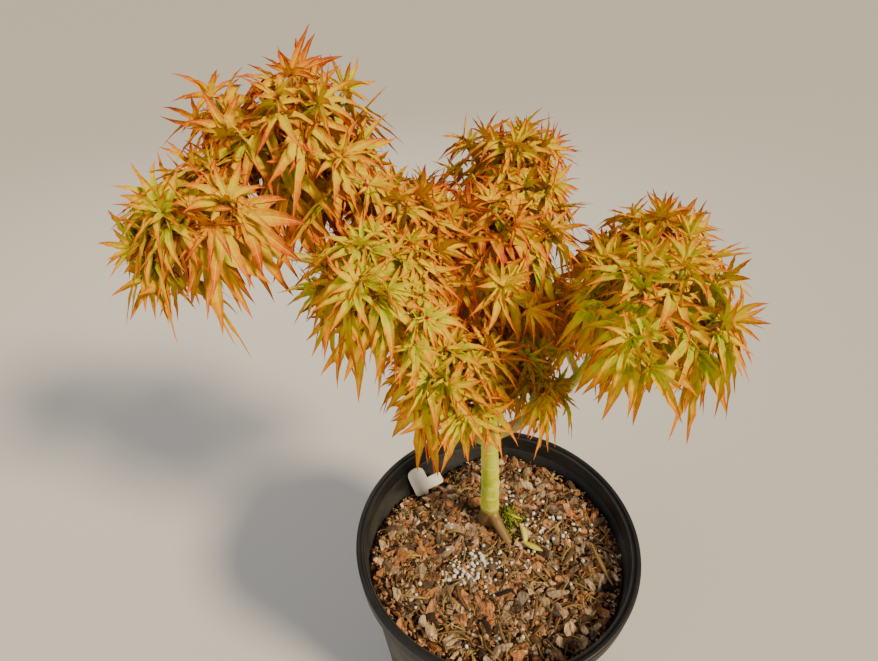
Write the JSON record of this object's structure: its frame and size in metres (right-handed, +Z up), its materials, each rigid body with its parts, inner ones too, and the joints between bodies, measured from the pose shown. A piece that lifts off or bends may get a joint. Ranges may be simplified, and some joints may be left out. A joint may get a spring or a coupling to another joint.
{
  "type": "potted japanese maple",
  "caption": "Small forked maple in autumn leaf, with dense clusters of narrow-lobed leaves on short boughs, rooted in bark mulch in a round black nursery pot.",
  "frame": {"origin": "centre of the pot's flat underside", "axes": "+Z up, +X to the right of the front view, +Y away from the viewer"},
  "size_m": [0.3836, 0.2832, 0.5541],
  "materials": {
    "pot_plastic": "moulded black polyethylene, slightly dusty",
    "bark_mulch": "rough chipped pine bark with coarse fibres",
    "label_plastic": "smooth white sheet plastic",
    "maple_bark": "smooth green bark with pale ring scars",
    "maple_leaves": "thin satin leaves, gold and lime with orange margins"
  },
  "bodies": {
    "root": {"pot": "pot_plastic", "soil": "bark_mulch", "plant_label": "label_plastic", "trunk": "maple_bark", "left_bough": "maple_bark", "crown_top_bough": "maple_bark", "far_left_bough": "maple_bark", "upper_left_bough": "maple_bark", "lower_left_bough": "maple_bark", "rear_top_bough": "maple_bark", "middle_bough": "maple_bark", "rear_left_bough": "maple_bark", "right_bough": "maple_bark", "upper_right_bough": "maple_bark", "lower_right_bough": "maple_bark", "centre_bough": "maple_bark", "rear_right_bough": "maple_bark", "front_bough": "maple_bark", "low_right_bough": "maple_bark", "crown_top": "maple_leaves", "far_left": "maple_leaves", "upper_left": "maple_leaves", "lower_left": "maple_leaves", "rear_top": "maple_leaves", "middle": "maple_leaves", "rear_left": "maple_leaves", "upper_right": "maple_leaves", "lower_right": "maple_leaves", "centre": "maple_leaves", "rear_right": "maple_leaves", "front": "maple_leaves", "low_right": "maple_leaves"}
  },
  "joints": []
}
